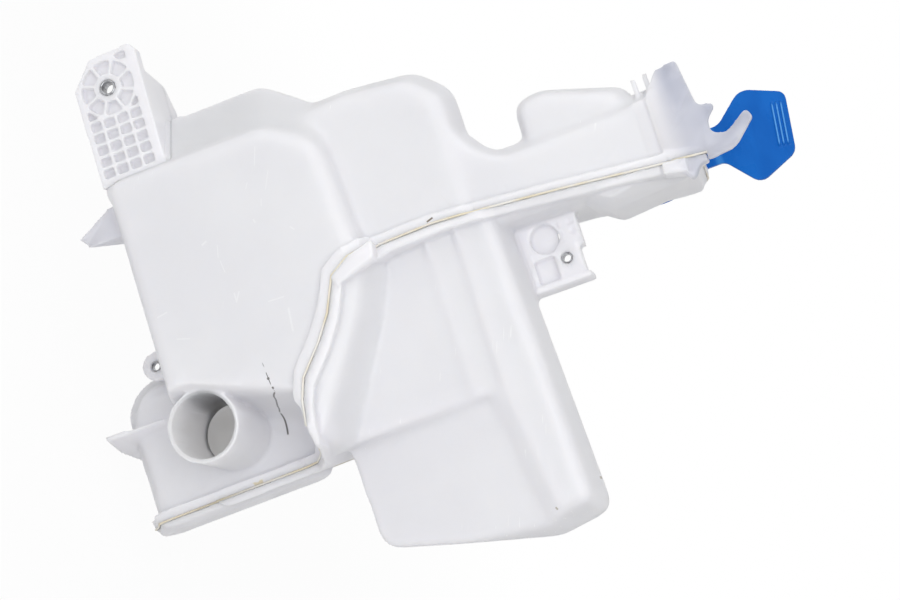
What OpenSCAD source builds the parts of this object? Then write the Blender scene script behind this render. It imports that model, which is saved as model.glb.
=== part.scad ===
// Washer fluid reservoir: two moulded halves welded along a stepped flange, with a ribbed bracket,
// pump port, filler neck and hinged cap. Millimetres. Z runs up the filler neck, X runs to the right
// seen from the front, Y runs to the back. The origin is the bracket bush, on the bracket's front face.

/* [Tank] */
// Wall of the moulded halves
wall = 3; // [2:0.1:4]
// Front plateau of the box, in front of the bracket face
plateau = 10; // [4:0.5:16]
// Back of the box, behind the bracket face
box_back = 115; // [90:1:140]
// Foot of the box below the bracket bush
foot = 235; // [225:1:245]
// How far the sloped shoulder runs back
shoulder = 30; // [20:1:40]
// Rounding of the box edges
box_round = 8; // [5:0.5:12]
// Floor of the scoop that the pump port stands in
scoop_floor = 48; // [36:1:60]
// Front of the arm
arm_front = 6; // [2:0.5:12]
// Back of the arm and the column
arm_back = 96; // [80:1:120]
// Front of the column's flat strip
column_front = 5; // [0:0.5:10]
// Front of the neck
neck_front = 8; // [4:0.5:14]
// Back of the neck
neck_back = 68; // [56:1:80]

/* [Weld flange] */
// Thickness of each half's flange
flange_t = 5.5; // [4:0.25:7]
// How far the flange stands out of the wall
flange_h = 5; // [3:0.5:8]
// Weld line between the two flanges
weld_gap = 0.3; // [0.2:0.05:0.6]

/* [Pump port] */
// Outside diameter of the port tube
port_od = 40; // [30:0.5:50]
// Wall of the port tube
port_wall = 2.5; // [2:0.1:4]
// Front end of the tube, in front of the bracket face
port_reach = 5; // [0:0.5:15]

/* [Bracket] */
// Length of the bracket along X below the bush
bracket_l = 62; // [50:1:70]
// Width of the bracket
bracket_w = 36; // [30:1:44]
// Depth of the bracket
bracket_d = 34; // [24:1:44]
// Outer wall of the bracket
bracket_wall = 2.6; // [2:0.1:4]
// Ribs in the bracket face
rib_t = 1.7; // [1.2:0.1:2.5]
// Depth of the rib pockets
pocket_d = 4.5; // [3:0.5:8]

/* [Bushes] */
// Bore of the bracket bush
bush_bore = 6.6; // [5.5:0.1:8.5]
// Outside of the bracket bush
bush_od = 9; // [8:0.1:12]
// Bore of the two small bushes
small_bore = 4.4; // [3.6:0.1:5]
// Outside of the two small bushes
small_od = 5.8; // [5.4:0.1:7.5]
// Clearance all round between a bush and its seat
bush_fit = 0.12; // [0.05:0.01:0.3]

/* [Filler] */
// Bore of the filler mouth
mouth_bore = 38; // [30:0.5:42]
// Wall of the filler mouth
mouth_wall = 2.8; // [2:0.1:4]
// Height of the filler mouth behind the neck
mouth_h = 12; // [8:0.5:18]
// Diameter of the lid
lid_d = 62; // [54:0.5:70]
// Thickness of the lid
lid_t = 2.4; // [1.8:0.1:3.5]
// Depth of the lid's plug
plug_h = 5; // [3:0.5:7]
// Clearance between the plug and the mouth
plug_fit = 0.8; // [0.5:0.05:1.5]
// Clearance between the ring and the mouth, and under the lid
ring_fit = 0.4; // [0.3:0.05:0.8]
// Length of the pull tab past the lid
tab_l = 49; // [40:1:60]
// Width of the pull tab
tab_w = 48; // [36:1:54]

/* [Hidden] */
$fn = 64;
arc_n = 4;

// Bush centres [x, z] and the faces that they start at
left_lug = [148, -30.5];
left_lug_y = 40;
left_lug_t = 5;
right_lug = [171, 208];
right_lug_y = 32;
right_lug_t = 6;
boss_d = 8;
ear_foot = 11.3;
ear_side = 8.2;
ear_deep = 8;
ear_step = [4, 3];
ear_pocket = 16;
shelf_t = 3;
shelf_over = 2;
shelf_deep = 14;
dimple_d = 4;
dimple_p = [5.4, 7.4];

// Bracket outline, where it meets the tank, and its ribs
bracket_c = [
  [-19, -6, 2], [-4, -bracket_w / 2 - 1, 2], [bracket_l, -bracket_w / 2, 1],
  [bracket_l, bracket_w / 2 + 2, 1], [-16, bracket_w / 2 + 3, 2], [-20, bracket_w / 2, 2],
];
bracket_foot = 53;
head_d = pocket_d + 4;
bracket_side = bracket_w / 2 + 3;
boss_od = bush_od + 7;
ring_r = bracket_w / 2 - bracket_wall;
rib_cols = 4;
rib_rows = 10;
rib_pz = (bracket_w - 4) / rib_cols;
rib_px = 0.86 * rib_pz;
rib_x = bracket_foot - 2 - rib_rows * rib_px;
rib_z = bracket_wall - bracket_w / 2;
ear_d = 16;
fin_at = [176, 43, 0];
fin_turn = 20;
fin_t = 2.5;

// Port and mouth centres
port = [198, 1];
mouth = [119, 263];
mouth_od = mouth_bore + 2 * mouth_wall;
mouth_y = neck_back + mouth_h;
lid_y = mouth_y + ring_fit;
hinge_z = mouth[1] - lid_d / 2 - 2;
hinge_y = lid_y - 0.3;
ring_od = lid_d - 4;
ring_h = 6;
hinge_w = 22;

// Pull tab of the lid, seen from the front
tab_x = 130;
tab_top = mouth[1] + lid_d / 2 + tab_l;
tab_c = [
  [tab_x - 11, mouth[1] + 20, 2], [tab_x + 10, mouth[1] + 20, 2], [tab_x + 10, tab_top - 42, 6],
  [tab_x + tab_w / 2 + 4, tab_top - 27, 7], [tab_x + tab_w / 2 - 6, tab_top - 4, 7],
  [tab_x - tab_w / 2 + 8, tab_top + 1, 5], [tab_x - tab_w / 2 - 2, tab_top - 22, 9],
  [tab_x - 11, tab_top - 39, 8],
];

// Grip ridges along the end of the pull tab
grip_in = 2.6;
grip_p = 2.4;
grip_t = 1.1;
grip_h = 0.8;
grip_end = 5;

// Plate on the neck's end, seen from the front
plate_y = 3;
plate_t = 2.8;
plate_split = 297;
plate_c = [
  [142, 276, 3], [163, 286, 2], [155, 292, 3], [153, 312, 12], [141, 325, 2], [135, 323, 2], [144, 310, 6],
  [141, 302, 4], [134, 303, 6], [127, 310, 2], [125, 300, 4], [98, 297, 2], [100, 285, 3], [112, 276, 3],
];

// Weld line seen from the front, from the foot of the tank to the neck's end
weld = [
  [foot - 2.5, -90], [foot - 6, 48], [foot - 11, 57], [205, 60], [194, 64], [179, 77], [166, 86], [148, 94],
  [141, 105], [137, 120], [136, 150], [138, 180], [142, 220], [148, 275], [154, 330],
];

// Corners [x, z, radius] of each block, at its front face and at its full size
box_f = [
  [53, -15, 8], [foot - 4, -13, 8], [foot - 7.5, 64, 10], [171, 101, 16], [147, 112, 14], [70, 107, 24],
  [53, 78, 22],
];
box_g = [
  [24, -20, 10], [foot, -19, 8], [foot - 3.5, 71, 10], [175, 106, 16], [148, 119, 14], [44, 105, 20],
  [23, 78, 16],
];
sump_f = [[170, -57, 12], [foot - 1, -56, 8], [foot - 3.5, 40, 8], [155, 40, 8], [155, -46, 14]];
sump_g = [[166, -61, 16], [foot, -59, 8], [foot - 2.5, 42, 8], [150, 42, 8], [150, -50, 24]];
scoop_e = [[163, -90, 4], [290, -90, 4], [290, 66, 4], [199, 62, 16], [175, 2, 26]];
scoop_f = [[167, -90, 4], [290, -90, 4], [290, 66, 4], [203, 62, 14], [179, 0, 24]];
scoop_g = [[170, -90, 4], [290, -90, 4], [290, 54, 4], [206, 50, 14], [181.5, 0, 20]];
arm_f = [[50, 80, 8], [150, 80, 8], [150, 175, 8], [68, 176, 14], [52, 159, 16], [47.5, 122, 20]];
arm_g = [[43.8, 80, 8], [152, 80, 8], [152, 179, 8], [63, 179, 16], [46.5, 162, 18], [42, 122, 20]];
neck_f = [[112, 160, 6], [146, 160, 6], [149, 285, 6], [110, 285, 6]];
neck_g = [[106, 160, 6], [147, 160, 6], [151, 289, 6], [102, 289, 6]];
belly_f = [[136, 233, 6], [149, 233, 4], [155, 242, 5], [150, 280, 5], [136, 280, 6]];
belly_g = [[131, 227, 6], [149, 227, 4], [158.5, 240, 5], [154.5, 285, 5], [131, 285, 6]];
fillet_f = [[92, 170, 4], [124, 170, 4], [124, 207, 4], [92, 207, 4]];
bump_f = [[86, 209, 8], [126, 209, 4], [126, 266, 4], [98, 264, 8], [84, 224, 10]];
bump_g = [[82, 206, 8], [126, 206, 4], [126, 269, 4], [95, 268, 8], [80, 223, 10]];
column_f = [[281, 74, 10], [303, 163, 10], [300, 187, 6], [134, 181, 6], [134, 67, 6]];
column_g = [[287.5, 65, 12], [310.5, 161, 14], [305.5, 191.5, 8], [129, 184.5, 6], [129, 59, 8]];

// Round corner between the arm and the neck
fillet_at = [82, 206];
fillet_r = 27;

// Front of the column in [depth, z]: a shallow recess above the ledge and a sloped face below it
ledge_x = 230;
recess = [
  [-40, 20], [24, 20], [19, 80], [12.5, 139], [9.5, 142], [9, 157], [column_front - 1, 160], [-40, 162],
];
slope = [[-40, 20], [38, 20], [31, 66], [column_front + 9, 148], [column_front - 1, 161], [-40, 163]];
slope_rise = 9;

function unit(v) = v / norm(v);
function left(v) = [-v[1], v[0]];
function turn(a, b) = atan2(a[0] * b[1] - a[1] * b[0], a * b);
function flat(p) = [p[0], p[1]];

// One rounded corner of an outline that is moved inward by d
function corner(p, q, s, r, d) =
  let (n1 = left(unit(q - p)), n2 = left(unit(s - q)))
  let (w = turn(n1, n2), k = w < 0 ? -1 : 1, rr = max(r - k * d, r / 2), b = (n1 + n2) / (1 + n1 * n2))
  let (c = q + (d + k * rr) * b, a0 = atan2(n1[1], n1[0]))
  [for (i = [0 : arc_n]) c - k * rr * [cos(a0 + w * i / arc_n), sin(a0 + w * i / arc_n)]];

// A whole rounded outline, moved inward by d
function outline(c, d) =
  let (n = len(c))
  [for (i = [0 : n - 1])
    each corner(flat(c[(i + n - 1) % n]), flat(c[i]), flat(c[(i + 1) % n]), c[i][2], d)];

// Rings of a block from its front yf over its shoulder ys to its back yb: e rounds the front edge,
// b rounds the back edge and t draws the back in
function rings(f, g, yf, ys, yb, e, b, t, d) =
  let (k = max(e - d, 1), m = max(b - d, 1))
  [
    for (a = d > 0 ? [0, 90] : [0, 45, 90]) [yf + d + k * (1 - cos(a)), outline(f, d + k * (1 - sin(a)))],
    [ys, outline(g, d)],
    for (a = d > 0 ? [90, 45, 0] : [90, 60, 30, 0])
      [yb - d - m * (1 - cos(a)), outline(g, t + d + m * (1 - sin(a)))],
  ];

// Rings of the scoop, whose edge rolls over into the plateau; d moves its walls outward
function mix(a, b, k) = [for (i = [0 : len(a) - 1]) a[i] + k * (b[i] - a[i])];
function scoop_rings(d) =
  let (m = 10)
  [
    for (s = [[-10, -0.8], [0, 0], [4, 0.55], [11, 1]])
      [s[0] - plateau + d, outline(mix(scoop_e, scoop_f, s[1]), -d)],
    [scoop_floor - 24, outline(mix(scoop_f, scoop_g, 0.6), -d)],
    for (a = [90, 45, 0]) [scoop_floor + d - m * (1 - cos(a)), outline(scoop_g, m * (1 - sin(a)) - d)],
  ];

// A solid skinned over rings from front to back
module skin(rs) {
  n = len(rs[0][1]);
  m = len(rs);
  points = [for (r = rs) for (p = r[1]) [p[0], r[0], p[1]]];
  sides = [
    for (k = [0 : m - 2]) for (i = [0 : n - 1])
      let (j = (i + 1) % n)
      each [[k * n + i, k * n + j, (k + 1) * n + j], [k * n + i, (k + 1) * n + j, (k + 1) * n + i]]
  ];
  front = [[for (i = [n - 1 : -1 : 0]) i]];
  back = [[for (i = [0 : n - 1]) (m - 1) * n + i]];
  polyhedron(points = points, faces = concat(front, sides, back));
}

module block(f, g, yf, ys, yb, e, b, t, d) {
  skin(rings(f, g, yf, ys, yb, e, b, t, d));
}

// A prism that stands on an outline seen from the front, between two depths
module prism(points, y0, y1) {
  translate([0, y1, 0])
    rotate([90, 0, 0])
      linear_extrude(y1 - y0)
        polygon(points);
}

// A cylinder along Y
module rod(at, d, y0, y1) {
  translate([at[0], y1, at[1]])
    rotate([90, 0, 0])
      cylinder(d = d, h = y1 - y0);
}

// The weld line moved by s towards the lower half
function weld_at(s) = [for (p = weld) p + s * [1, 0.75]];
function back_to_front(v) = [for (i = [len(v) - 1 : -1 : 0]) v[i]];

// The room on one side of the weld, and the flat band that its flange fills
module upper_side() {
  prism(concat(weld_at(-weld_gap / 2), [[-80, 330], [-80, -90]]), -60, 200);
}

module lower_side() {
  prism(concat(weld_at(weld_gap / 2), [[420, 330], [420, -90]]), -60, 200);
}

module upper_band() {
  prism(concat(weld_at(-weld_gap / 2), back_to_front(weld_at(-flange_t))), -60, 200);
}

module lower_band() {
  prism(concat(weld_at(weld_gap / 2), back_to_front(weld_at(flange_t))), -60, 200);
}

// Blocks of the tank, moved inward by d
module box(d) {
  difference() {
    block(box_f, box_g, -plateau, shoulder - plateau, box_back, box_round, 24, 12, d);
    skin(scoop_rings(d));
    translate([-100, -100, -100])
      cube([100 + bracket_foot + d, 100 + bracket_d + d, 100 + bracket_side + d]);
  }
}

module sump(d) {
  block(sump_f, sump_g, scoop_floor - 0.5, scoop_floor + 12, box_back - 1, 8, 22, 12, d);
}

module arm(d) {
  block(arm_f, arm_g, arm_front, arm_front + 18, arm_back, 8, 20, 8, d);
}

module neck(d) {
  block(neck_f, neck_g, neck_front, neck_front + 14, neck_back, 5, 6, 2, d);
}

// The lower half's side of the neck, which bulges towards its end
module belly(d) {
  block(belly_f, belly_g, neck_front + 1, neck_front + 16, neck_back - 0.4, 5, 6, 2, d);
}

// The round corner between the arm and the neck
module neck_fillet(d) {
  difference() {
    block(fillet_f, fillet_f, neck_front, neck_front + 10, neck_back - 0.8, 1, 4, 1, d);
    rod(fillet_at, 2 * (fillet_r + d), neck_front - 20, neck_back + 20);
    translate([fillet_at[0], neck_front + 12, fillet_at[1]])
      rotate([90, 0, 0])
        cylinder(r1 = fillet_r + d, r2 = fillet_r + d + 10, h = 20);
  }
}

module bump(d) {
  block(bump_f, bump_g, neck_front + 6, neck_front + 20, neck_back - 0.5, 6, 6, 3, d);
}

module column(d) {
  difference() {
    block(column_f, column_g, column_front, column_front + 20, arm_back - 0.5, 6, 20, 8, d);
    if (d >= 0) {
      side_plate([for (p = recess) p + [d, d]], 60, ledge_x + d);
      side_wedge([for (p = slope) p + [d, d]], ledge_x - d, 360, slope_rise);
    }
  }
}

module upper_blocks(d) {
  box(d);
  sump(d);
  arm(d);
  neck(d);
  neck_fillet(d);
  bump(d);
}

module lower_blocks(d) {
  box(d);
  sump(d);
  neck(d);
  belly(d);
  column(d);
}

// A plate that stands on a profile in depth and height, between two X values
module side_plate(points, x0, x1) {
  translate([x0, 0, 0])
    rotate([90, 0, 90])
      linear_extrude(x1 - x0)
        polygon(points);
}

// The same between two X values, with its far end moved up by a rise; the profile is convex
module side_wedge(points, x0, x1, rise) {
  n = len(points);
  ends = [[x0, 0], [x1, rise * (x1 - x0) / 70]];
  sides = [for (i = [0 : n - 1]) [n + i, n + (i + 1) % n, (i + 1) % n, i]];
  polyhedron(
    points = [for (e = ends) for (p = points) [e[0], p[0], p[1] + e[1]]],
    faces = concat([[for (i = [0 : n - 1]) i]], sides, [[for (i = [n - 1 : -1 : 0]) n + i]])
  );
}

// A box from its low corner to its high corner
module span(a, b) {
  translate(a)
    cube(b - a);
}

// Rib pockets round the boss and in rows below it
module rib_pockets() {
  difference() {
    rod([0, 0], 2 * ring_r, -1, pocket_d);
    rod([0, 0], boss_od, -2, pocket_d + 1);
    for (i = [0 : 3])
      translate([0, pocket_d / 2, 0])
        rotate([0, 22.5 + 45 * i, 0])
          cube([3 * ring_r, pocket_d + 4, rib_t], center = true);
  }
  difference() {
    intersection() {
      for (i = [0 : rib_rows - 1]) for (j = [0 : rib_cols - 1])
        span(
          [rib_x + i * rib_px, -1, rib_z + j * rib_pz],
          [rib_x + (i + 1) * rib_px - rib_t, pocket_d, rib_z + (j + 1) * rib_pz - rib_t]
        );
      prism(outline(bracket_c, bracket_wall), -2, pocket_d + 1);
    }
    rod([0, 0], 2 * (ring_r + rib_t), -2, pocket_d + 1);
  }
}

// The bracket deepens towards the tank
module bracket_side_view() {
  translate([0, 0, -60])
    linear_extrude(120)
      polygon([
        [-40, -1], [80, -1], [80, bracket_d + 12], [12, bracket_d + 12], [-2, bracket_d + 2],
        [-5, head_d], [-40, head_d],
      ]);
}

// The bracket: a boss for the bush, rib pockets from the front and one hollow from the back
module bracket() {
  difference() {
    intersection() {
      prism(outline(bracket_c, 0), 0, bracket_d + 20);
      bracket_side_view();
    }
    rib_pockets();
    difference() {
      prism(outline(bracket_c, bracket_wall), pocket_d + bracket_wall, bracket_d + 40);
      rod([0, 0], boss_od, 0, boss_d);
    }
  }
  rod([0, 0], boss_od, 0, boss_d);
}

// The ear for the left bush
module left_ear() {
  rod(left_lug, ear_d, left_lug_y, left_lug_y + left_lug_t);
  prism(
    [left_lug + [-ear_d / 2, 0], left_lug + [ear_d / 2, 0], left_lug + [ear_d / 2 + 4, 22],
      left_lug + [-ear_d / 2 - 4, 22]],
    left_lug_y, left_lug_y + left_lug_t
  );
}

// The thin folded clip and the pointed fin on the left side
module left_fins() {
  prism([[57, -12], [79, -12], [78, -22], [77, -40], [72, -44], [61, -24]], 14, 16.5);
  side_plate([[14, -12], [46, -12], [14, -40]], 76, 78.5);
  translate(fin_at)
    rotate([0, 0, -fin_turn])
      side_plate([[0, -34], [0, -71], [18, -70], [52, -58], [52, -34]], 0, fin_t);
}

// The pump port
module port_tube() {
  rod(port, port_od, -port_reach, scoop_floor + 8);
}

// The plate on the neck's end, with its lobe and hook, and two small hose prongs
module neck_plate() {
  difference() {
    union() {
      prism(outline(plate_c, 0), plate_y, plate_y + plate_t);
      side_plate([[neck_front + 3, 260], [plate_y, 283], [plate_y, 287], [neck_front + 3, 288]], 111, 160);
    }
    intersection() {
      prism(concat(weld_at(-weld_gap / 2), [[420, 330], [420, -90]]), -60, 200);
      span([100, -20, 200], [200, 60, plate_split]);
    }
  }
  span([97, 16, 271], [113, 19, 273.5]);
  span([96, 16, 277.5], [113, 19, 280]);
}

// The tail of that plate on the lower half
module plate_tail() {
  intersection() {
    prism(outline(plate_c, 0), plate_y, neck_front + 3);
    lower_side();
    span([100, -20, 200], [200, 60, plate_split - weld_gap]);
  }
}

// The collar of the filler mouth
module collar() {
  rod(mouth, mouth_od, neck_back - 4, mouth_y);
}

module upper_half() {
  color("#e6e5e9")
    difference() {
      union() {
        difference() {
          union() {
            intersection() {
              upper_blocks(0);
              upper_side();
            }
            intersection() {
              upper_blocks(-flange_h);
              upper_band();
            }
            left_ear();
            left_fins();
            neck_plate();
            collar();
          }
          upper_blocks(wall);
        }
        bracket();
        difference() {
          port_tube();
          span([100, scoop_floor + wall, -60], [260, 120, 60]);
        }
      }
      rod([0, 0], bush_od + 2 * bush_fit, -1, bracket_d + 1);
      rod(left_lug, small_od + 2 * bush_fit, left_lug_y - 1, left_lug_y + left_lug_t + 1);
      rod(port, port_od - 2 * port_wall, -port_reach - 1, scoop_floor + 20);
      rod(mouth, mouth_bore, neck_back - 12, mouth_y + 1);
    }
}

// The boxed ear for the right bush, in the corner between the neck and the column
module right_ear() {
  low = right_lug - [26, 30];
  high = right_lug + [ear_foot, ear_side];
  back = right_lug_y + ear_deep;
  floor_y = back - wall;
  difference() {
    union() {
      span([low[0], right_lug_y, low[1]], [high[0], back, high[1]]);
      span([low[0], right_lug_y, low[1]], [right_lug[0] - ear_step[0], back, high[1] + ear_step[1]]);
    }
    difference() {
      span(
        [low[0] + 10, right_lug_y + wall, right_lug[1] - 1.5],
        [high[0] - wall, back + 1, high[1] - wall]
      );
      rod(right_lug, small_od + 6, right_lug_y, right_lug_y + right_lug_t);
    }
    rod(right_lug + [-13.5, -8.3], ear_pocket, right_lug_y - 1, floor_y);
    span(
      [right_lug[0] - 13.5 - ear_pocket / 2, right_lug_y - 1, right_lug[1] - 8.3],
      [right_lug[0] - 13.5 + ear_pocket / 2, floor_y, right_lug[1] - 4.5]
    );
    span(
      [right_lug[0] - 3.5, right_lug_y - 1, right_lug[1] - 18],
      [high[0] - 1.5, floor_y, right_lug[1] - 6]
    );
    for (i = [0, 1], j = [0, 1])
      rod(
        right_lug + [i * dimple_p[0] - 18, j * dimple_p[1]],
        dimple_d, right_lug_y - 1, right_lug_y + 1
      );
  }
  span(
    [high[0] - 0.5, right_lug_y - 1, low[1]],
    [high[0] - 0.5 + shelf_t, right_lug_y + shelf_deep, high[1] + shelf_over]
  );
}

// The pad where the flange turns the corner, and the small block at its end
module flange_pads() {
  intersection() {
    union() {
      prism([[138, 86], [130, 121], [147, 118.5], [154, 96]], -plateau - flange_h - 1.5, 4 - plateau);
      prism([[140, 274], [144, 287], [157, 285], [154, 273]], neck_front - flange_h - 2, neck_front + 6);
    }
    lower_side();
  }
}

module lower_half() {
  color("#e6e5e9")
    difference() {
      union() {
        intersection() {
          lower_blocks(0);
          lower_side();
        }
        intersection() {
          lower_blocks(-flange_h);
          lower_band();
        }
        right_ear();
        plate_tail();
        flange_pads();
      }
      lower_blocks(wall);
      rod(right_lug, small_od + 2 * bush_fit, right_lug_y - 1, right_lug_y + ear_deep + 1);
    }
}

// A plain sleeve along Y
module sleeve(at, od, bore, y0, y1) {
  color("#6f7276")
    difference() {
      rod(at, od, y0, y1);
      rod(at, bore, y0 - 1, y1 + 1);
    }
}

module bracket_bush() {
  sleeve([0, 0], bush_od, bush_bore, 0, boss_d);
}

module left_bush() {
  sleeve(left_lug, small_od, small_bore, left_lug_y, left_lug_y + left_lug_t);
}

module right_bush() {
  sleeve(right_lug, small_od, small_bore, right_lug_y, right_lug_y + right_lug_t);
}

// The ring that holds the cap on the mouth, with the fixed side of the living hinge
module cap_ring() {
  color("#1f6fc0")
    difference() {
      union() {
        rod(mouth, ring_od, mouth_y - ring_h, mouth_y);
        span(
          [mouth[0] - hinge_w / 2, mouth_y - ring_h, hinge_z - 4],
          [mouth[0] + hinge_w / 2, mouth_y - 0.3, mouth[1] - ring_od / 2 + 4]
        );
      }
      rod(mouth, mouth_od + 2 * ring_fit, mouth_y - ring_h - 1, mouth_y + 1);
    }
}

// The lid: disc, plug, hinge strap and the pull tab with three grip ridges
module cap_lid() {
  color("#1f6fc0") {
    difference() {
      union() {
        rod(mouth, lid_d, lid_y, lid_y + lid_t);
        rod(mouth, mouth_bore - 2 * plug_fit, mouth_y - plug_h, lid_y + 1);
      }
      rod(mouth, mouth_bore - 2 * plug_fit - 4, mouth_y - plug_h - 1, lid_y);
    }
    span(
      [mouth[0] - hinge_w / 2, lid_y, hinge_z + 0.4],
      [mouth[0] + hinge_w / 2, lid_y + 1, mouth[1] - lid_d / 2 + 3]
    );
    prism(outline(tab_c, 0), lid_y, lid_y + lid_t);
    for (i = [0 : 2])
      grip(grip_in + grip_p * i);
  }
}

// One ridge on the pull tab, set in from the tab's end
module grip(d) {
  a = flat(tab_c[5]);
  b = flat(tab_c[4]);
  along = unit(b - a);
  in = left(-along);
  prism(
    [a + grip_end * along + d * in, b - grip_end * along + d * in,
      b - grip_end * along + (d + grip_t) * in, a + grip_end * along + (d + grip_t) * in],
    lid_y - grip_h, lid_y + 1
  );
}

upper_half();
lower_half();
bracket_bush();
left_bush();
right_bush();
cap_ring();
cap_lid();
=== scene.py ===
"""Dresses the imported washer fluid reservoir: moulded halves, bracket, weld bead, cap and sleeves."""

import logging
import math
from dataclasses import dataclass
from enum import Enum
from functools import cached_property

import bpy
import numpy as np
from mathutils import Matrix, Vector


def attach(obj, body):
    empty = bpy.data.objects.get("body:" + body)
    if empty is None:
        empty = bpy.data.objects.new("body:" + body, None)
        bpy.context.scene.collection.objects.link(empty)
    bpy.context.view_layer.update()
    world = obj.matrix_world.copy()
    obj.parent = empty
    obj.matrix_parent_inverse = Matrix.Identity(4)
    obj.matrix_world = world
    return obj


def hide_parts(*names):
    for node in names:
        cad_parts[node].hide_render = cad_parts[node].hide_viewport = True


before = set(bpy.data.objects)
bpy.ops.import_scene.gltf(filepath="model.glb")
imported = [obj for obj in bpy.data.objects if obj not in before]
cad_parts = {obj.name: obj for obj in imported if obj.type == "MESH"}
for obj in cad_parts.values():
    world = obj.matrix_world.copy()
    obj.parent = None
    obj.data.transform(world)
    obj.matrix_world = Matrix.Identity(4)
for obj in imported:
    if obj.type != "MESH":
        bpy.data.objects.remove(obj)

log = logging.getLogger("reservoir")

Colour = tuple[float, float, float, float]
Point = tuple[float, float, float]
Place = tuple[float, float]
Span = tuple[float, float]
Box = tuple[Point, Point]
Socket = bpy.types.NodeSocket

RISE: Span = (0.0, 1.0)
FADE: Span = (1.0, 0.0)

# Sockets of a mix node that blends colours
MIX_FACTOR, MIX_FIRST, MIX_SECOND, MIX_RESULT = 0, 6, 7, 2

# Vertices closer than this are one vertex, in metres
MERGE = 1e-6

# How far one pass of smoothing moves a vertex towards its neighbours' middle
SMOOTH_FACTOR = 0.5


class Node(Enum):
    """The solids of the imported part."""

    UPPER = "upper_half"
    LOWER = "lower_half"
    BRACKET_BUSH = "bracket_bush"
    LEFT_BUSH = "left_bush"
    RIGHT_BUSH = "right_bush"
    RING = "cap_ring"
    LID = "cap_lid"


class Body(Enum):
    """The bodies that pieces ride on."""

    TANK = "tank"
    LID = "lid"


class Slot(Enum):
    """The record's material slots."""

    TANK = "tank"
    BUSH = "bush"
    CAP = "cap"


# Weld line between the halves seen from the front, [x, z] in metres
WELD: tuple[Place, ...] = (
    (0.2325, -0.090), (0.229, 0.048), (0.224, 0.057), (0.205, 0.060), (0.194, 0.064), (0.179, 0.077),
    (0.166, 0.086), (0.148, 0.094), (0.141, 0.105), (0.137, 0.120), (0.136, 0.150), (0.138, 0.180),
    (0.142, 0.220), (0.148, 0.275), (0.154, 0.330),
)

# Boxes around small fittings that stay crisp, lowest and highest corner in metres
PORT_TUBE: Box = ((0.172, -0.02, -0.026), (0.226, 0.05, 0.028))
NECK_END: Box = ((0.0, -0.02, 0.268), (0.3, 0.2, 0.4))
FOLDED_CLIP: Box = ((0.04, -0.02, -0.08), (0.12, 0.06, -0.022))
LEFT_EAR: Box = ((0.13, 0.03, -0.08), (0.165, 0.06, -0.02))
POINTED_FIN: Box = ((0.165, 0.03, -0.08), (0.25, 0.12, -0.059))
FILLER_MOUTH: Box = ((0.08, 0.066, 0.22), (0.16, 0.1, 0.31))
BRACKET_ROOT: Box = ((-0.03, 0.0, -0.03), (0.05, 0.052, 0.03))
RIGHT_EAR: Box = ((0.145, 0.02, 0.1875), (0.192, 0.05, 0.224))


def line_distance(points: np.ndarray, line: np.ndarray) -> np.ndarray:
    """How far points are from a line of straight stretches.

    Args:
        points: Rows of two values.
        line: The line's corners as rows of two values.

    Returns:
        One distance for each point.
    """
    best = np.full(len(points), np.inf)
    for a, b in zip(line, line[1:]):
        along = np.clip((points - a) @ (b - a) / ((b - a) @ (b - a)), 0, 1)
        best = np.minimum(best, np.linalg.norm(points - a - along[:, None] * (b - a), axis=1))
    return best


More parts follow.
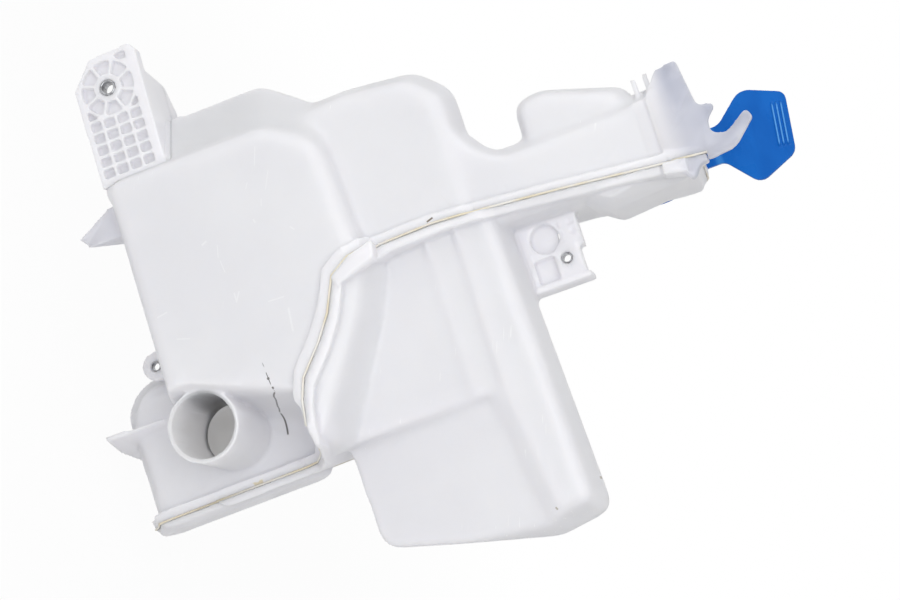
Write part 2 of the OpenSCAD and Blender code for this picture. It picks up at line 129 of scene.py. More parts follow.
class Hand:
    """The few hand moves that every piece needs."""

    @staticmethod
    def pick(obj: bpy.types.Object) -> None:
        """Selects one object alone and makes it active.

        Args:
            obj: The object.
        """
        bpy.ops.object.select_all(action="DESELECT")
        obj.select_set(True)
        bpy.context.view_layer.objects.active = obj

    @staticmethod
    def copy_of(node: Node, name: str) -> bpy.types.Object:
        """Copies a solid's mesh into a new piece and merges its loose triangles.

        Args:
            node: The solid to copy.
            name: The new piece's name.

        Returns:
            The new piece, at the origin.
        """
        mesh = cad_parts[node.value].data.copy()
        mesh.materials.clear()
        obj = bpy.data.objects.new(name, mesh)
        mesh.name = name
        bpy.context.scene.collection.objects.link(obj)
        Hand.pick(obj)
        bpy.ops.object.mode_set(mode="EDIT")
        bpy.ops.mesh.select_all(action="SELECT")
        bpy.ops.mesh.remove_doubles(threshold=MERGE)
        bpy.ops.object.mode_set(mode="OBJECT")
        return obj

    @staticmethod
    def apply(obj: bpy.types.Object, kind: str, **values: object) -> None:
        """Adds one modifier, sets it and applies it.

        Args:
            obj: The piece.
            kind: The modifier's type.
            **values: The modifier's settings.
        """
        Hand.pick(obj)
        mod = obj.modifiers.new(kind.title(), kind)
        for key, value in values.items():
            setattr(mod, key, value)
        bpy.ops.object.modifier_apply(modifier=mod.name)

    @staticmethod
    def points(obj: bpy.types.Object) -> np.ndarray:
        """Reads a piece's vertices.

        Args:
            obj: The piece.

        Returns:
            Rows of x, y and z.
        """
        co = np.zeros(len(obj.data.vertices) * 3, np.float32)
        obj.data.vertices.foreach_get("co", co)
        return co.reshape(-1, 3)

    @staticmethod
    def weigh(obj: bpy.types.Object, name: str, weights: np.ndarray, steps: int = 8) -> None:
        """Writes weights into a vertex group, in a few even steps.

        Args:
            obj: The piece.
            name: The vertex group's name.
            weights: One weight from 0 to 1 for each vertex.
            steps: How many levels the weights are rounded to.
        """
        group = obj.vertex_groups.new(name=name)
        level = np.rint(np.clip(weights, 0, 1) * steps).astype(int)
        for step in range(steps + 1):
            picked = np.nonzero(level == step)[0]
            if len(picked):
                group.add(picked.tolist(), step / steps, "REPLACE")

    @staticmethod
    def smooth(obj: bpy.types.Object) -> None:
        """Shades a piece smooth all over."""
        Hand.pick(obj)
        bpy.ops.object.shade_smooth()

    @staticmethod
    def thin_to(obj: bpy.types.Object, most: int) -> None:
        """Collapses a piece that has too many triangles.

        Args:
            obj: The piece.
            most: How many triangles it may keep.
        """
        count = sum(len(p.vertices) - 2 for p in obj.data.polygons)
        if count > most:
            Hand.apply(obj, "DECIMATE", ratio=most / count)

    @staticmethod
    def skin(obj: bpy.types.Object, voxel: float, passes: int, most: int) -> None:
        """Skins a piece with small quads, takes its edges off and thins it.

        Args:
            obj: The piece.
            voxel: The size of the quads in metres.
            passes: How often the skin is smoothed.
            most: How many triangles it may keep.
        """
        Hand.apply(obj, "REMESH", mode="VOXEL", voxel_size=voxel)
        Hand.apply(obj, "SMOOTH", factor=SMOOTH_FACTOR, iterations=passes)
        Hand.thin_to(obj, most)
        Hand.smooth(obj)

    @staticmethod
    def dress(
        obj: bpy.types.Object, finish: bpy.types.Material, body: Body, slot: Slot, *nodes: Node
    ) -> None:
        """Gives a piece its finish and body, and hides the solids that it stands for.

        Args:
            obj: The piece.
            finish: Its material.
            body: The body that it rides on.
            slot: Not used.
            *nodes: The solids that it replaces.
        """
        obj.data.materials.clear()
        obj.data.materials.append(finish)
        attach(obj, body.value)
        if nodes:
            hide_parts(*[n.value for n in nodes])
        log.info("%s: %d faces on %s", obj.name, len(obj.data.polygons), body.value)


@dataclass(frozen=True)
class Pattern:
    """A noise pattern: its grain, the band of its values that counts and what the band is spread over."""

    scale: float
    detail: float
    band: Span
    spread: Span = RISE


@dataclass(frozen=True)
class Grain:
    """A fine bumpy surface: its noise, how strong it is and how deep in metres."""

    scale: float
    detail: float
    strength: float
    depth: float


@dataclass(frozen=True)
class Scratch:
    """A fine mark on the front faces, from one point to another in [x, z] metres.

    It shows between the depths near and deep, and more of it is missing the higher broken is. The core is
    the share of its width that is full, the tip the share of its length that fades at each end, the fade
    the metres over which it ends in depth and the gap the softness of its breaks.
    """

    start: Place
    end: Place
    width: float = 0.0004
    broken: float = 0.3
    deep: float = 0.03
    tone: Colour = (0.16, 0.15, 0.15, 1)
    near: float = -0.1
    core: float = 0.3
    tip: float = 0.1
    fade: float = 0.002
    gap: float = 0.04


class Graph:
    """A material's node tree with short calls for making and joining nodes."""

    break_scale: float = 160
    break_detail: float = 1

    def __init__(self, name: str) -> None:
        """Starts a material with one principled shader.

        Args:
            name: The material's name.
        """
        self.material = bpy.data.materials.new(name)
        self.material.use_nodes = True
        self.tree = self.material.node_tree
        self.shader = self.tree.nodes["Principled BSDF"]
        self.coords = self.tree.nodes.new("ShaderNodeTexCoord").outputs["Object"]

    @cached_property
    def breaks(self) -> Socket:
        """The noise that breaks up every stroke."""
        return self.noise(self.coords, self.break_scale, self.break_detail)

    def node(self, kind: str, **values: object) -> bpy.types.Node:
        """Adds a node and sets its properties.

        Args:
            kind: The node's type.
            **values: Its properties.

        Returns:
            The node.
        """
        made = self.tree.nodes.new(kind)
        for key, value in values.items():
            setattr(made, key, value)
        return made

    def join(self, out: Socket, into: Socket) -> None:
        """Links two sockets."""
        self.tree.links.new(out, into)

    def moved(self, place: Point = (0, 0, 0), turn: Point = (0, 0, 0), scale: Point = (1, 1, 1)) -> Socket:
        """Object coordinates, shifted, turned and scaled.

        Args:
            place: The point that becomes the pattern's origin.
            turn: Turn about x, y and z in radians.
            scale: Scale along the turned axes.

        Returns:
            The vector socket.
        """
        shift = self.node("ShaderNodeMapping", vector_type="TEXTURE")
        shift.inputs["Location"].default_value = place
        shift.inputs["Rotation"].default_value = turn
        self.join(self.coords, shift.inputs["Vector"])
        grow = self.node("ShaderNodeMapping", vector_type="POINT")
        grow.inputs["Scale"].default_value = scale
        self.join(shift.outputs["Vector"], grow.inputs["Vector"])
        return grow.outputs["Vector"]

    def noise(self, vector: Socket, scale: float, detail: float) -> Socket:
        """A noise pattern.

        Args:
            vector: Where the pattern is read.
            scale: How fine it is.
            detail: How many finer layers it has.

        Returns:
            The pattern's value.
        """
        made = self.node("ShaderNodeTexNoise")
        made.inputs["Scale"].default_value = scale
        made.inputs["Detail"].default_value = detail
        self.join(vector, made.inputs["Vector"])
        return made.outputs[0]

    def between(self, value: Socket, band: Span, spread: Span = RISE) -> Socket:
        """Maps a value from one range to another, eased and held at both ends.

        Args:
            value: The value.
            band: The range that it comes from.
            spread: The range that it goes to.

        Returns:
            The mapped value.
        """
        made = self.node("ShaderNodeMapRange", interpolation_type="SMOOTHSTEP", clamp=True)
        for key, number in zip(("From Min", "From Max", "To Min", "To Max"), band + spread):
            made.inputs[key].default_value = number
        self.join(value, made.inputs["Value"])
        return made.outputs["Result"]

    def patterned(self, pattern: Pattern, vector: Socket | None = None) -> Socket:
        """A noise pattern, spread over its range.

        Args:
            pattern: The pattern.
            vector: Where it is read, if not at the object coordinates.

        Returns:
            The spread value.
        """
        where = self.coords if vector is None else vector
        return self.between(self.noise(where, pattern.scale, pattern.detail), pattern.band, pattern.spread)

    def maths(self, kind: str, a: Socket, b: Socket | float = 0.0) -> Socket:
        """One sum of two values.

        Args:
            kind: The sum's name.
            a: The first value.
            b: The second value, if the sum has one.

        Returns:
            The result.
        """
        made = self.node("ShaderNodeMath", operation=kind)
        self.join(a, made.inputs[0])
        if isinstance(b, Socket):
            self.join(b, made.inputs[1])
        else:
            made.inputs[1].default_value = b
        return made.outputs[0]

    def times(self, a: Socket, b: Socket | float) -> Socket:
        """Returns the product of two values."""
        return self.maths("MULTIPLY", a, b)

    def mixed(self, factor: Socket, a: Socket | Colour, b: Colour) -> Socket:
        """Blends two colours.

        Args:
            factor: 0 for the first colour and 1 for the second.
            a: The first colour.
            b: The second colour.

        Returns:
            The blended colour.
        """
        made = self.node("ShaderNodeMix", data_type="RGBA")
        self.join(factor, made.inputs[MIX_FACTOR])
        for value, socket in ((a, made.inputs[MIX_FIRST]), (b, made.inputs[MIX_SECOND])):
            if isinstance(value, Socket):
                self.join(value, socket)
            else:
                socket.default_value = value
        return made.outputs[MIX_RESULT]

    def split(self, vector: Socket) -> list[Socket]:
        """Takes a vector apart.

        Args:
            vector: The vector.

        Returns:
            Its x, y and z.
        """
        made = self.node("ShaderNodeSeparateXYZ")
        self.join(vector, made.inputs[0])
        return list(made.outputs)

    def length(self, vector: Socket) -> Socket:
        """Measures a vector.

        Args:
            vector: The vector.

        Returns:
            Its length.
        """
        made = self.node("ShaderNodeVectorMath", operation="LENGTH")
        self.join(vector, made.inputs[0])
        return made.outputs["Value"]

    def stroke(self, mark: Scratch) -> Socket:
        """A fine line on the front faces.

        Args:
            mark: Where the line runs, how wide it is and how broken.

        Returns:
            A value that is 1 on the line and 0 away from it.
        """
        (x0, z0), (x1, z1) = mark.start, mark.end
        length = math.hypot(x1 - x0, z1 - z0)
        local = self.moved((x0, 0, z0), (0, math.atan2(z0 - z1, x1 - x0), 0))
        along, deep, across = self.split(local)
        line = self.between(self.maths("ABSOLUTE", across), (mark.core * mark.width, mark.width), FADE)
        for value, band, spread in (
            (along, (0.0, mark.tip * length), RISE),
            (along, ((1 - mark.tip) * length, length), FADE),
            (deep, (mark.deep, mark.deep + mark.fade), FADE),
            (deep, (mark.near - mark.fade, mark.near), RISE),
            (self.breaks, (mark.broken - mark.gap, mark.broken + mark.gap), RISE),
        ):
            line = self.times(line, self.between(value, band, spread))
        return line

    def bumped(self, grain: Grain) -> None:
        """Bumps the shader.

        Args:
            grain: The bumpy surface.
        """
        made = self.node("ShaderNodeBump")
        made.inputs["Strength"].default_value = grain.strength
        made.inputs["Distance"].default_value = grain.depth
        self.join(self.noise(self.coords, grain.scale, grain.detail), made.inputs["Height"])
        self.join(made.outputs["Normal"], self.shader.inputs["Normal"])

    def paint(self, colour: Socket) -> None:
        """Joins a colour to the shader."""
        self.join(colour, self.shader.inputs["Base Color"])

    def roughen(self, rough: Socket) -> None:
        """Joins a roughness to the shader."""
        self.join(rough, self.shader.inputs["Roughness"])

    def plain(self, **values: object) -> None:
        """Sets constant values on the shader's own sockets, named with _ for a space."""
        for key, value in values.items():
            self.shader.inputs[key.replace("_", " ")].default_value = value


@dataclass(frozen=True)
class NaturalPolyethylene:
    """Milky, slightly translucent moulded plastic with faint scuffs, pale scratches, dark marks and painted
    grey-blue shade on the neck's thin end plate and the folded clip.
    """

    name: str = "natural_polyethylene"
    face: Colour = (0.85, 0.845, 0.875, 1)
    cloud: Colour = (0.82, 0.815, 0.85, 1)
    scuff: Colour = (0.93, 0.93, 0.95, 1)
    # Painted shade: the grey-blue colour laid on the neck's thin end plate and the folded clip
    plate: Colour = (0.43, 0.45, 0.53, 1)
    clouds: Pattern = Pattern(14, 3, (0.35, 0.65))
    streaks: Pattern = Pattern(1.0, 1, (0.7, 0.76))
    streak_turn: Point = (0, 0.35, 0)
    streak_scale: Point = (55, 500, 900)
    scuffed: Pattern = Pattern(22, 2, (0.56, 0.7))
    pale_share: float = 0.55
    # Where the painted shade goes: the plate's height and depth, and the clip's height, depth and width;
    # the clip gets only a share of it
    plate_up: Span = (0.278, 0.292)
    plate_deep: Span = (0.006, 0.010)
    clip_up: Span = (-0.024, -0.016)
    clip_deep: Span = (0.03, 0.04)
    clip_wide: Span = (0.055, 0.061)
    clip_shade_share: float = 0.35
    # Mottles the painted shade on the plate and the clip
    mottle: Pattern = Pattern(30, 2, (0.3, 0.7), (0.6, 1.0))
    gloss: Pattern = Pattern(60, 4, (0.3, 0.7), (0.3, 0.42))
    scuff_rough: float = 0.15
    grain: Grain = Grain(700, 3, 0.05, 0.0004)
    scatter: Span = (0.006, 0.05)
    port: Point = (0.198, 0, 0.001)
    bore_edge: Span = (0.0183, 0.0192)
    bore_end: Span = (0.05, 0.06)
    wall_behind: Point = (0.183, 0.105, -0.027)
    wall_edge: Span = (0.037, 0.043)
    wall_flat: float = 6
    dark: tuple[Scratch, ...] = (
        Scratch((0.1775, 0.0434), (0.1945, 0.0448), 0.00035, 0.42),
        Scratch((0.1863, 0.0441), (0.1877, 0.0442), 0.0010, 0.0),
        Scratch((0.1916, 0.0447), (0.1928, 0.0448), 0.0008, 0.0),
        Scratch((0.1940, 0.0448), (0.1968, 0.0310), 0.0004, 0.40, 0.06),
        Scratch((0.1966, 0.0316), (0.2085, 0.0293), 0.0008, 0.34, 0.06),
        Scratch((0.1345, 0.1475), (0.1332, 0.1515), 0.0007, 0.1, 0.03, (0.20, 0.16, 0.12, 1)),
        Scratch((0.2287, 0.0025), (0.2284, 0.0100), 0.0016, 0.38, 0.05, (0.74, 0.66, 0.50, 1)),
        Scratch((0.2875, 0.1903), (0.2890, 0.1903), 0.0007, 0.0, 0.025, (0.50, 0.46, 0.40, 1), 0.020),
        Scratch((0.2970, 0.1655), (0.2987, 0.1663), 0.0007, 0.0, 0.009, (0.50, 0.46, 0.40, 1), 0.005),
    )
    pale: tuple[Scratch, ...] = (
        Scratch((0.065, 0.0734), (0.076, 0.0697)),
        Scratch((0.080, 0.0766), (0.0905, 0.0717)),
        Scratch((0.0825, 0.0636), (0.087, 0.0610)),
        Scratch((0.0935, 0.0684), (0.098, 0.0671)),
        Scratch((0.1066, 0.0295), (0.1052, 0.0330), 0.0008),
        Scratch((0.1175, 0.0370), (0.1255, 0.0379)),
        Scratch((0.109, 0.0380), (0.1165, 0.0364)),
        Scratch((0.1368, 0.0395), (0.1418, 0.0394), 0.0006),
        Scratch((0.1370, 0.0425), (0.1428, 0.0390), 0.0006),
        Scratch((0.148, 0.0555), (0.1484, 0.0655), 0.0005),
        Scratch((0.154, 0.0656), (0.1685, 0.0642), 0.0008),
        Scratch((0.1354, -0.0055), (0.1344, 0.0012), 0.0006),
        Scratch((0.150, 0.0015), (0.1524, 0.0095), 0.0005),
        Scratch((0.1136, 0.0788), (0.1163, 0.0810), 0.0006),
        Scratch((0.1028, 0.0608), (0.1052, 0.0615), 0.0007),
    )

    def scuffs(self, g: Graph) -> Socket:
        """Fine streaks in patches, and the pale scratches.

        Args:
            g: The material's nodes.

        Returns:
            A value that is 1 where the face is scuffed.
        """
        streaks = g.patterned(self.streaks, g.moved(turn=self.streak_turn, scale=self.streak_scale))
        scuffs = g.times(streaks, g.patterned(self.scuffed))
        for mark in self.pale:
            scuffs = g.maths("MAXIMUM", scuffs, g.times(g.stroke(mark), self.pale_share))
        return scuffs

    def thin(self, g: Graph) -> Socket:
        """The thin plate on the neck's end and the folded clip, which look greyer than the tank because
        grey-blue painted shade is laid on them.

        Args:
            g: The material's nodes.

        Returns:
            A value that is 0 on the tank and above 0 on those two.
        """
        # Masks for the painted shade on the plate and on the clip
        wide, deep, high = g.split(g.coords)
        plate = g.times(g.between(high, self.plate_up), g.between(deep, self.plate_deep, FADE))
        low = g.between(high, self.clip_up, (self.clip_shade_share, 0.0))
        clip = g.times(g.times(low, g.between(deep, self.clip_deep, FADE)), g.between(wide, self.clip_wide))
        return g.times(g.maths("MAXIMUM", plate, clip), g.patterned(self.mottle))

    def inner(self, g: Graph) -> Socket:
        """The port's bore and the wall that is seen through it, where light spreads further.

        Args:
            g: The material's nodes.

        Returns:
            A value that is 1 there and 0 on the outer faces.
        """
        deep = g.split(g.coords)[1]
        bore = g.between(g.length(g.moved(self.port, scale=(1, 0, 1))), self.bore_edge, FADE)
        bore = g.times(bore, g.between(deep, self.bore_end, FADE))
        behind = g.moved(self.wall_behind, scale=(1, self.wall_flat, 1))
        return g.maths("MAXIMUM", bore, g.between(g.length(behind), self.wall_edge, FADE))

    def material(self) -> bpy.types.Material:
        """Makes the finish.

        Returns:
            The material.
        """
        g = Graph(self.name)
        scuffs = self.scuffs(g)
        colour = g.mixed(g.patterned(self.clouds), self.face, self.cloud)
        colour = g.mixed(scuffs, colour, self.scuff)
        # Painted shade: the neck's end plate and the folded clip are darkened towards grey-blue
        colour = g.mixed(self.thin(g), colour, self.plate)
        for mark in self.dark:
            colour = g.mixed(g.stroke(mark), colour, mark.tone)
        g.paint(colour)
        g.roughen(g.maths("ADD", g.patterned(self.gloss), g.times(scuffs, self.scuff_rough)))
        g.bumped(self.grain)
        g.join(g.between(self.inner(g), RISE, self.scatter), g.shader.inputs["Subsurface Scale"])
        g.plain(Subsurface_Weight=0.9, Subsurface_Radius=(1.0, 0.96, 0.92))
        g.plain(IOR=1.5, Specular_IOR_Level=0.35)
        return g.material


@dataclass(frozen=True)
class WeldPlastic:
    """The bead that the hot plate squeezed out, a little yellowed."""

    name: str = "weld_plastic"
    warm: Colour = (0.76, 0.69, 0.53, 1)
    pale: Colour = (0.82, 0.80, 0.75, 1)
    tones: Pattern = Pattern(45, 3, (0.4, 0.6))
    grain: Grain = Grain(400, 2, 0.2, 0.0004)

    def material(self) -> bpy.types.Material:
        """Makes the finish.

        Returns:
            The material.
        """
        g = Graph(self.name)
        g.paint(g.mixed(g.patterned(self.tones), self.warm, self.pale))
        g.bumped(self.grain)
        g.plain(Roughness=0.4, IOR=1.5)
        return g.material


@dataclass(frozen=True)
class BlueCapPlastic:
    """Blue moulded plastic, semi-gloss, with soft flow clouds, a painted highlight where the waist bends
    and painted highlights along the grip ridges.
    """

    name: str = "blue_cap_plastic"
    face: Colour = (0.003, 0.112, 0.470, 1)
    flow: Colour = (0.006, 0.135, 0.530, 1)
    # Paler blue of the painted highlight where the waist bends
    thin: Colour = (0.050, 0.260, 0.680, 1)
    # Paler blue of the painted highlights along the grip ridges' tops
    crest_highlight: Colour = (0.100, 0.340, 0.760, 1)
    flows: Pattern = Pattern(35, 3, (0.35, 0.7))
    flow_scale: Point = (1, 1, 2.5)
    gloss: Pattern = Pattern(120, 3, (0.3, 0.7), (0.26, 0.36))
    grain: Grain = Grain(900, 2, 0.05, 0.0003)
    # Where the painted highlight on the waist lies, how fast it fades and how much of the paler blue it
    # gets
    waist: float = 0.2985
    waist_fade: Span = (0.0006, 0.003)
    waist_share: float = 0.75
    ridges: tuple[tuple[Place, Place], ...] = (
        ((0.1185, 0.3402), (0.1426, 0.3366)),
        ((0.1181, 0.3378), (0.1423, 0.3342)),
        ((0.1178, 0.3354), (0.1419, 0.3319)),
    )
    # Width, breaks and depth reach of the painted highlight strokes on the ridges
    ridge_width: float = 0.0006
    ridge_broken: float = 0.2
    ridge_deep: float = 0.09

    def material(self) -> bpy.types.Material:
        """Makes the finish.

        Returns:
            The material.
        """
        g = Graph(self.name)
        colour = g.mixed(g.patterned(self.flows, g.moved(scale=self.flow_scale)), self.face, self.flow)
        # Painted highlight: the waist's bend is lightened towards the paler blue
        off = g.maths("ABSOLUTE", g.maths("SUBTRACT", g.split(g.coords)[2], self.waist))
        colour = g.mixed(g.between(off, self.waist_fade, (self.waist_share, 0.0)), colour, self.thin)
        # Painted highlights: a paler stroke along each grip ridge's top
        for start, end in self.ridges:
            ridge = Scratch(start, end, self.ridge_width, self.ridge_broken, self.ridge_deep)
            colour = g.mixed(g.stroke(ridge), colour, self.crest_highlight)
        g.paint(colour)
        g.roughen(g.patterned(self.gloss))
        g.bumped(self.grain)
        g.plain(IOR=1.49, Specular_IOR_Level=0.12)
        return g.material


@dataclass(frozen=True)
class SleeveSteel:
    """Rolled steel sleeve, bright with dull patches."""

    name: str = "sleeve_steel"
    bright: Colour = (0.50, 0.51, 0.53, 1)
    dull: Colour = (0.24, 0.24, 0.25, 1)
    rolled: Pattern = Pattern(500, 4, (0.35, 0.7))
    rolled_scale: Point = (1, 0.2, 1)
    gloss: Pattern = Pattern(900, 3, (0.3, 0.7), (0.22, 0.45))

    def material(self) -> bpy.types.Material:
        """Makes the finish.

        Returns:
            The material.
        """
        g = Graph(self.name)
        g.paint(g.mixed(g.patterned(self.rolled, g.moved(scale=self.rolled_scale)), self.bright, self.dull))
        g.roughen(g.patterned(self.gloss))
        g.plain(Metallic=1.0)
        return g.material


@dataclass
class MouthCollar:
    """The filler mouth's collar, carried down into the neck so that the neck's side is closed there."""

    centre: Place = (0.119, 0.263)
    radius: float = 0.0216
    sides: int = 96
    wall: float = 0.0028
    top: float = 0.067
    shoulder: float = 0.0555
    foot: float = 0.046
    taper: float = 0.55

    def join_to(self, half: bpy.types.Object) -> None:
        """Makes the collar as an open sleeve with a tapered foot and joins it to a half.

        Args:
            half: The half's mesh, before it is skinned.
        """
        x, z = self.centre
        middle = (self.top + self.shoulder) / 2
        bpy.ops.object.select_all(action="DESELECT")
        bpy.ops.mesh.primitive_cylinder_add(
            vertices=self.sides, radius=self.radius, depth=self.top - self.shoulder,
            end_fill_type="NOTHING", location=(x, middle, z), rotation=(math.pi / 2, 0, 0),
        )
        sleeve = bpy.context.object
        bpy.ops.object.transform_apply(location=True, rotation=True, scale=True)
        bpy.ops.object.mode_set(mode="EDIT")
        bpy.ops.mesh.select_mode(type="VERT")
        bpy.ops.mesh.select_all(action="DESELECT")
        bpy.ops.object.mode_set(mode="OBJECT")
        for vertex in sleeve.data.vertices:
            vertex.select = vertex.co.y < middle
        bpy.ops.object.mode_set(mode="EDIT")
        down = (0, self.foot - self.shoulder, 0)
        bpy.ops.mesh.extrude_region_move(TRANSFORM_OT_translate={"value": down})
        bpy.ops.transform.resize(value=(self.taper, 1, self.taper), center_override=(x, self.foot, z))
        bpy.ops.object.mode_set(mode="OBJECT")
        Hand.apply(sleeve, "SOLIDIFY", thickness=self.wall, offset=-1)
        Hand.pick(half)
        sleeve.select_set(True)
        bpy.ops.object.join()


@dataclass
class TankHalf:
    """One moulded half: its solid's mesh, made one soft skin that stays crisp at the weld and fittings."""

    node: Node
    name: str
    crisp: tuple[Box, ...]
    cut: Box | None = None
    collar: MouthCollar | None = None
    voxel: float = 0.001
    passes: int = 90
    weld_soft: float = 0.035
    crisp_soft: float = 0.042
    ramp: Span = (0.007, 0.018)
    most: int = 190000
    piece: bpy.types.Object | None = None

    def softness(self, co: np.ndarray) -> np.ndarray:
        """How strongly each vertex is smoothed: little at the weld and on small moulded fittings.

        Args:
            co: The vertices as rows of x, y and z.

        Returns:
            One weight from 0 to 1 for each vertex.
        """
        near, far = self.ramp
        away = np.clip((line_distance(co[:, [0, 2]], np.array(WELD)) - near) / (far - near), 0, 1)
        soft = self.weld_soft + (1 - self.weld_soft) * away
        for low, high in self.crisp:
            inside = np.all((co > np.array(low)) & (co < np.array(high)), axis=1)
            soft[inside] = np.minimum(soft[inside], self.crisp_soft)
        return soft

    def build(self) -> None:
        """Skins the half with small quads, smooths it by region and thins it."""
        obj = Hand.copy_of(self.node, self.name)
        if self.cut:
            self.clear(obj, *self.cut)
        if self.collar:
            self.collar.join_to(obj)
        Hand.apply(obj, "REMESH", mode="VOXEL", voxel_size=self.voxel)
        Hand.weigh(obj, "soft", self.softness(Hand.points(obj)))
        Hand.apply(obj, "SMOOTH", factor=SMOOTH_FACTOR, iterations=self.passes, vertex_group="soft")
        obj.vertex_groups.clear()
        Hand.thin_to(obj, self.most)
        Hand.smooth(obj)
        self.piece = obj

    @staticmethod
    def clear(obj: bpy.types.Object, low: Point, high: Point) -> None:
        """Cuts a box out of a piece.

        Args:
            obj: The piece.
            low: The box's lowest corner.
            high: The box's highest corner.
        """
        middle = (Vector(low) + Vector(high)) / 2
        bpy.ops.object.select_all(action="DESELECT")
        bpy.ops.mesh.primitive_cube_add(size=1, location=middle)
        cutter = bpy.context.object
        cutter.scale = Vector(high) - Vector(low)
        bpy.context.view_layer.update()
        Hand.apply(obj, "BOOLEAN", operation="DIFFERENCE", object=cutter, solver="EXACT")
        bpy.data.objects.remove(cutter, do_unlink=True)

    def dress(self, finish: bpy.types.Material) -> None:
        """Dresses the half."""
        Hand.dress(self.piece, finish, Body.TANK, Slot.TANK, self.node)


@dataclass
class RibbedBracket:
    """The bolt bracket, cut from its half and kept finer than the tank."""

    low: Point = (-0.03, -0.01, -0.03)
    high: Point = (0.054, 0.0335, 0.024)
    overlap: Point = (0.001, 0.0005, 0.001)
    voxel: float = 0.0006
    passes: int = 2
    most: int = 170000
    piece: bpy.types.Object | None = None

    def room(self) -> Box:
        """Returns the box that the half leaves free, smaller than the bracket so that the two overlap."""
        return self.low, tuple(h - o for h, o in zip(self.high, self.overlap))

    def build(self) -> None:
        """Trims a copy of the upper half down to the bracket and softens its ribs."""
        obj = Hand.copy_of(Node.UPPER, "ribbed_bracket")
        Hand.pick(obj)
        bpy.ops.object.mode_set(mode="EDIT")
        for axis in range(3):
            for corner, sign in ((self.low, -1), (self.high, 1)):
                way = [0.0, 0.0, 0.0]
                way[axis] = float(sign)
                bpy.ops.mesh.select_all(action="SELECT")
                bpy.ops.mesh.bisect(
                    plane_co=corner, plane_no=way, use_fill=True, clear_outer=True, threshold=MERGE
                )
        bpy.ops.object.mode_set(mode="OBJECT")
        Hand.skin(obj, self.voxel, self.passes, self.most)
        self.piece = obj

    def dress(self, finish: bpy.types.Material) -> None:
        """Dresses the bracket."""
        Hand.dress(self.piece, finish, Body.TANK, Slot.TANK, Node.UPPER)


@dataclass
class WeldBead:
    """The thin squeezed-out line between the two flanges.

    The upper half's weld face lies beside the weld line by the gap along lean, within near. Faces that
    look further up or down the y axis than flat aren't weld faces.
    """

    radius: float = 0.0006
    rounds: int = 2
    gap: float = 0.00015
    lean: Place = (1.0, 0.75)
    near: float = 2e-5
    flat: float = 0.3
    piece: bpy.types.Object | None = None

    def build(self) -> None:
        """Takes the rims of the upper half's weld faces and lays a round bead along them."""
        obj = Hand.copy_of(Node.UPPER, "weld_bead")
        face_line = np.array(WELD) - self.gap * np.array(self.lean)
        on_weld = line_distance(Hand.points(obj)[:, [0, 2]], face_line) < self.near
        bpy.ops.object.mode_set(mode="EDIT")
        bpy.ops.mesh.select_mode(type="FACE")
        bpy.ops.mesh.select_all(action="DESELECT")
        bpy.ops.object.mode_set(mode="OBJECT")
        for face in obj.data.polygons:
            face.select = not all(on_weld[v] for v in face.vertices) or abs(face.normal.y) > self.flat
        bpy.ops.object.mode_set(mode="EDIT")
        bpy.ops.mesh.delete(type="FACE")
        bpy.ops.mesh.select_all(action="SELECT")
        bpy.ops.mesh.region_to_loop()
        bpy.ops.mesh.select_all(action="INVERT")
        bpy.ops.mesh.delete(type="EDGE_FACE")
        bpy.ops.object.mode_set(mode="OBJECT")
        bpy.ops.object.convert(target="CURVE")
        obj.data.bevel_depth, obj.data.bevel_resolution = self.radius, self.rounds
        bpy.ops.object.convert(target="MESH")
        Hand.smooth(obj)
        self.piece = obj

    def dress(self, finish: bpy.types.Material) -> None:
        """Dresses the bead."""
        Hand.dress(self.piece, finish, Body.TANK, Slot.TANK)


@dataclass
class MouldedCapPart:
    """The ring or the lid of the cap, with soft moulded edges."""

    node: Node
    body: Body
    name: str
    voxel: float = 0.0006
    passes: int = 3
    most: int = 120000
    piece: bpy.types.Object | None = None

    def build(self) -> None:
        """Skins the part finely and takes its edges off."""
        obj = Hand.copy_of(self.node, self.name)
        Hand.skin(obj, self.voxel, self.passes, self.most)
        self.piece = obj

    def dress(self, finish: bpy.types.Material) -> None:
        """Dresses the part."""
        Hand.dress(self.piece, finish, self.body, Slot.CAP, self.node)


@dataclass
class Sleeve:
    """A pressed-in steel sleeve with broken edges."""

    node: Node
    name: str
    edge: float = 0.00035
    segments: int = 2
    flat_angle: float = 0.01
    edge_angle: float = 0.9
    smooth_angle: float = 0.6
    piece: bpy.types.Object | None = None

    def build(self) -> None:
        """Bevels the sleeve's rims."""
        obj = Hand.copy_of(self.node, self.name)
        Hand.pick(obj)
        bpy.ops.object.mode_set(mode="EDIT")
        bpy.ops.mesh.select_all(action="SELECT")
        bpy.ops.mesh.dissolve_limited(angle_limit=self.flat_angle)
        bpy.ops.object.mode_set(mode="OBJECT")
        Hand.apply(
            obj, "BEVEL", width=self.edge, segments=self.segments,
            limit_method="ANGLE", angle_limit=self.edge_angle,
        )
        Hand.pick(obj)
        bpy.ops.object.shade_smooth_by_angle(angle=self.smooth_angle)
        self.piece = obj

    def dress(self, finish: bpy.types.Material) -> None:
        """Dresses the sleeve."""
        Hand.dress(self.piece, finish, Body.TANK, Slot.BUSH, self.node)


@dataclass(frozen=True)
class Lamp:
    """A soft lamp: metres from the part along the camera's right, up and back, watts and width."""

    name: str
    way: Point
    energy: float
    size: float


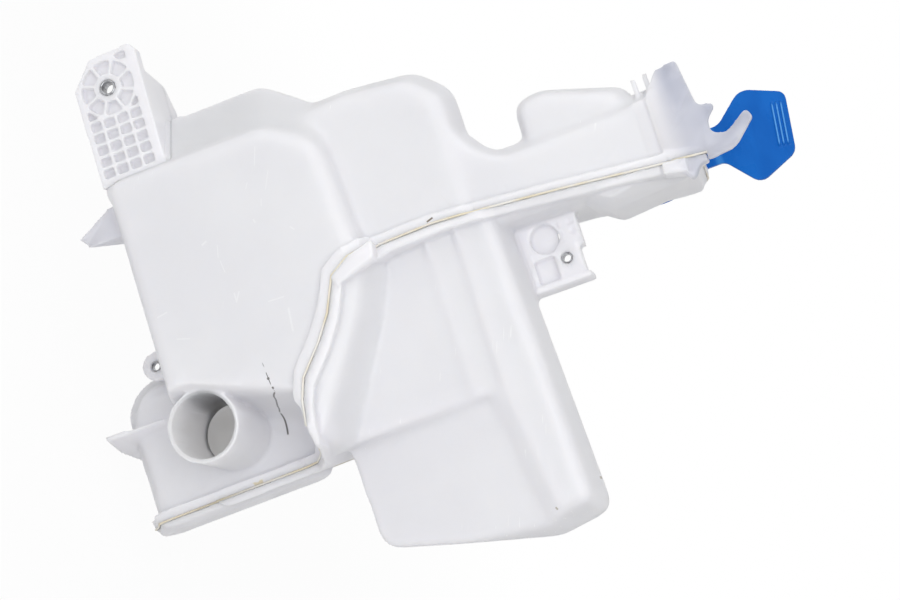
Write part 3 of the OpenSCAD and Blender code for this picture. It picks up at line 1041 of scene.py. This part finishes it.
@dataclass
class Studio:
    """Camera at the photograph's angle, soft light and a pale floor."""

    eye: Point = (0.41421, -1.06013, 0.34699)
    right: Point = (0.2946, 0.24, 0.925)
    back: Point = (0.21341, -0.96005, 0.18101)
    lens: float = 85.0
    sensor: float = 36.0
    clip: Span = (0.05, 50.0)
    aim: Point = (0.15, 0.03, 0.13)
    lamps: tuple[Lamp, ...] = (
        Lamp("key", (0.3, 0.15, 2.0), 17.0, 1.4),
        Lamp("top", (0.0, 1.8, 0.9), 8.0, 1.8),
    )
    fill: float = 0.54
    floor_z: float = -0.08
    floor_size: float = 8.0
    floor_colour: Colour = (0.9, 0.9, 0.9, 1)
    floor_rough: float = 0.9
    floor_fade: Span = (0.3, 1.2)
    white: float = 0.94

    def axes(self) -> tuple[Vector, Vector, Vector]:
        """Returns the camera's right, up and back as unit vectors."""
        right, back = Vector(self.right).normalized(), Vector(self.back).normalized()
        return right, back.cross(right), back

    def camera(self) -> None:
        """Sets up the camera."""
        data = bpy.data.cameras.new("photo_camera")
        data.lens, data.sensor_width = self.lens, self.sensor
        data.clip_start, data.clip_end = self.clip
        obj = bpy.data.objects.new("photo_camera", data)
        bpy.context.scene.collection.objects.link(obj)
        obj.matrix_world = Matrix.Translation(self.eye) @ Matrix(self.axes()).transposed().to_4x4()
        bpy.context.scene.camera = obj

    def hang(self, lamp: Lamp) -> None:
        """Adds one soft lamp that points at the part.

        Args:
            lamp: The lamp.
        """
        data = bpy.data.lights.new(lamp.name, "AREA")
        data.energy, data.size = lamp.energy, lamp.size
        obj = bpy.data.objects.new(lamp.name, data)
        bpy.context.scene.collection.objects.link(obj)
        way = Matrix(self.axes()).transposed() @ Vector(lamp.way)
        obj.location = Vector(self.aim) + way
        obj.rotation_euler = (-way).to_track_quat("-Z", "Y").to_euler()

    def lights(self) -> None:
        """Hangs the lamps and sets even light all round, which the camera sees as white."""
        for lamp in self.lamps:
            self.hang(lamp)
        world = bpy.data.worlds.new("studio")
        bpy.context.scene.world = world
        world.use_nodes = True
        tree = world.node_tree
        back = tree.nodes["Background"]
        back.inputs["Color"].default_value = (1, 1, 1, 1)
        level = tree.nodes.new("ShaderNodeMapRange")
        level.inputs["To Min"].default_value = self.fill
        level.inputs["To Max"].default_value = 1.0
        tree.links.new(self.seen(tree), level.inputs["Value"])
        tree.links.new(level.outputs["Result"], back.inputs["Strength"])

    @staticmethod
    def seen(tree: bpy.types.NodeTree) -> Socket:
        """Tells what is looked at from what only gives light.

        Args:
            tree: The node tree that needs to know.

        Returns:
            1 for what the camera, a mirror or glass sees, and 0 for light.
        """
        path = tree.nodes.new("ShaderNodeLightPath")
        total = path.outputs["Is Camera Ray"]
        for name in ("Is Glossy Ray", "Is Transmission Ray"):
            more = tree.nodes.new("ShaderNodeMath")
            more.operation = "MAXIMUM"
            tree.links.new(total, more.inputs[0])
            tree.links.new(path.outputs[name], more.inputs[1])
            total = more.outputs[0]
        return total

    def floor(self) -> None:
        """Lays a pale floor that looks white and keeps a soft shadow."""
        bpy.ops.object.select_all(action="DESELECT")
        place = (self.aim[0], self.aim[1], self.floor_z)
        bpy.ops.mesh.primitive_plane_add(size=self.floor_size, location=place)
        obj = bpy.context.object
        obj.name = "floor"
        g = Graph("floor_white")
        g.plain(Base_Color=self.floor_colour, Roughness=self.floor_rough)
        level = g.between(g.length(g.coords), self.floor_fade, (self.white, 1.0))
        glow, mix = g.node("ShaderNodeEmission"), g.node("ShaderNodeMixShader")
        for out, into in (
            (g.times(self.seen(g.tree), level), mix.inputs[0]),
            (g.shader.outputs[0], mix.inputs[1]),
            (glow.outputs[0], mix.inputs[2]),
            (mix.outputs[0], g.tree.nodes["Material Output"].inputs["Surface"]),
        ):
            g.join(out, into)
        obj.data.materials.append(g.material)


def main() -> None:
    """Builds and dresses the pieces in order."""
    logging.basicConfig(level=logging.INFO, format="%(message)s")
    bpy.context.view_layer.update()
    bpy.context.scene.view_settings.view_transform = "Standard"
    studio = Studio()
    studio.camera()
    studio.lights()
    white = NaturalPolyethylene().material()
    blue = BlueCapPlastic().material()
    steel = SleeveSteel().material()
    bracket = RibbedBracket()
    fittings = (PORT_TUBE, NECK_END, FOLDED_CLIP, LEFT_EAR, POINTED_FIN, FILLER_MOUTH, BRACKET_ROOT)
    upper = TankHalf(Node.UPPER, "upper_shell", fittings, bracket.room(), MouthCollar())
    lower = TankHalf(Node.LOWER, "lower_shell", (RIGHT_EAR,))
    for moulding in (upper, lower, bracket):
        moulding.build()
        moulding.dress(white)
    bead = WeldBead()
    bead.build()
    bead.dress(WeldPlastic().material())
    for part in (
        MouldedCapPart(Node.RING, Body.TANK, "cap_ring_moulding"),
        MouldedCapPart(Node.LID, Body.LID, "cap_lid_moulding", voxel=0.0004, passes=2),
    ):
        part.build()
        part.dress(blue)
    for node in (Node.BRACKET_BUSH, Node.LEFT_BUSH, Node.RIGHT_BUSH):
        sleeve = Sleeve(node, node.value + "_sleeve")
        sleeve.build()
        sleeve.dress(steel)
    studio.floor()


if __name__ == "__main__":
    main()
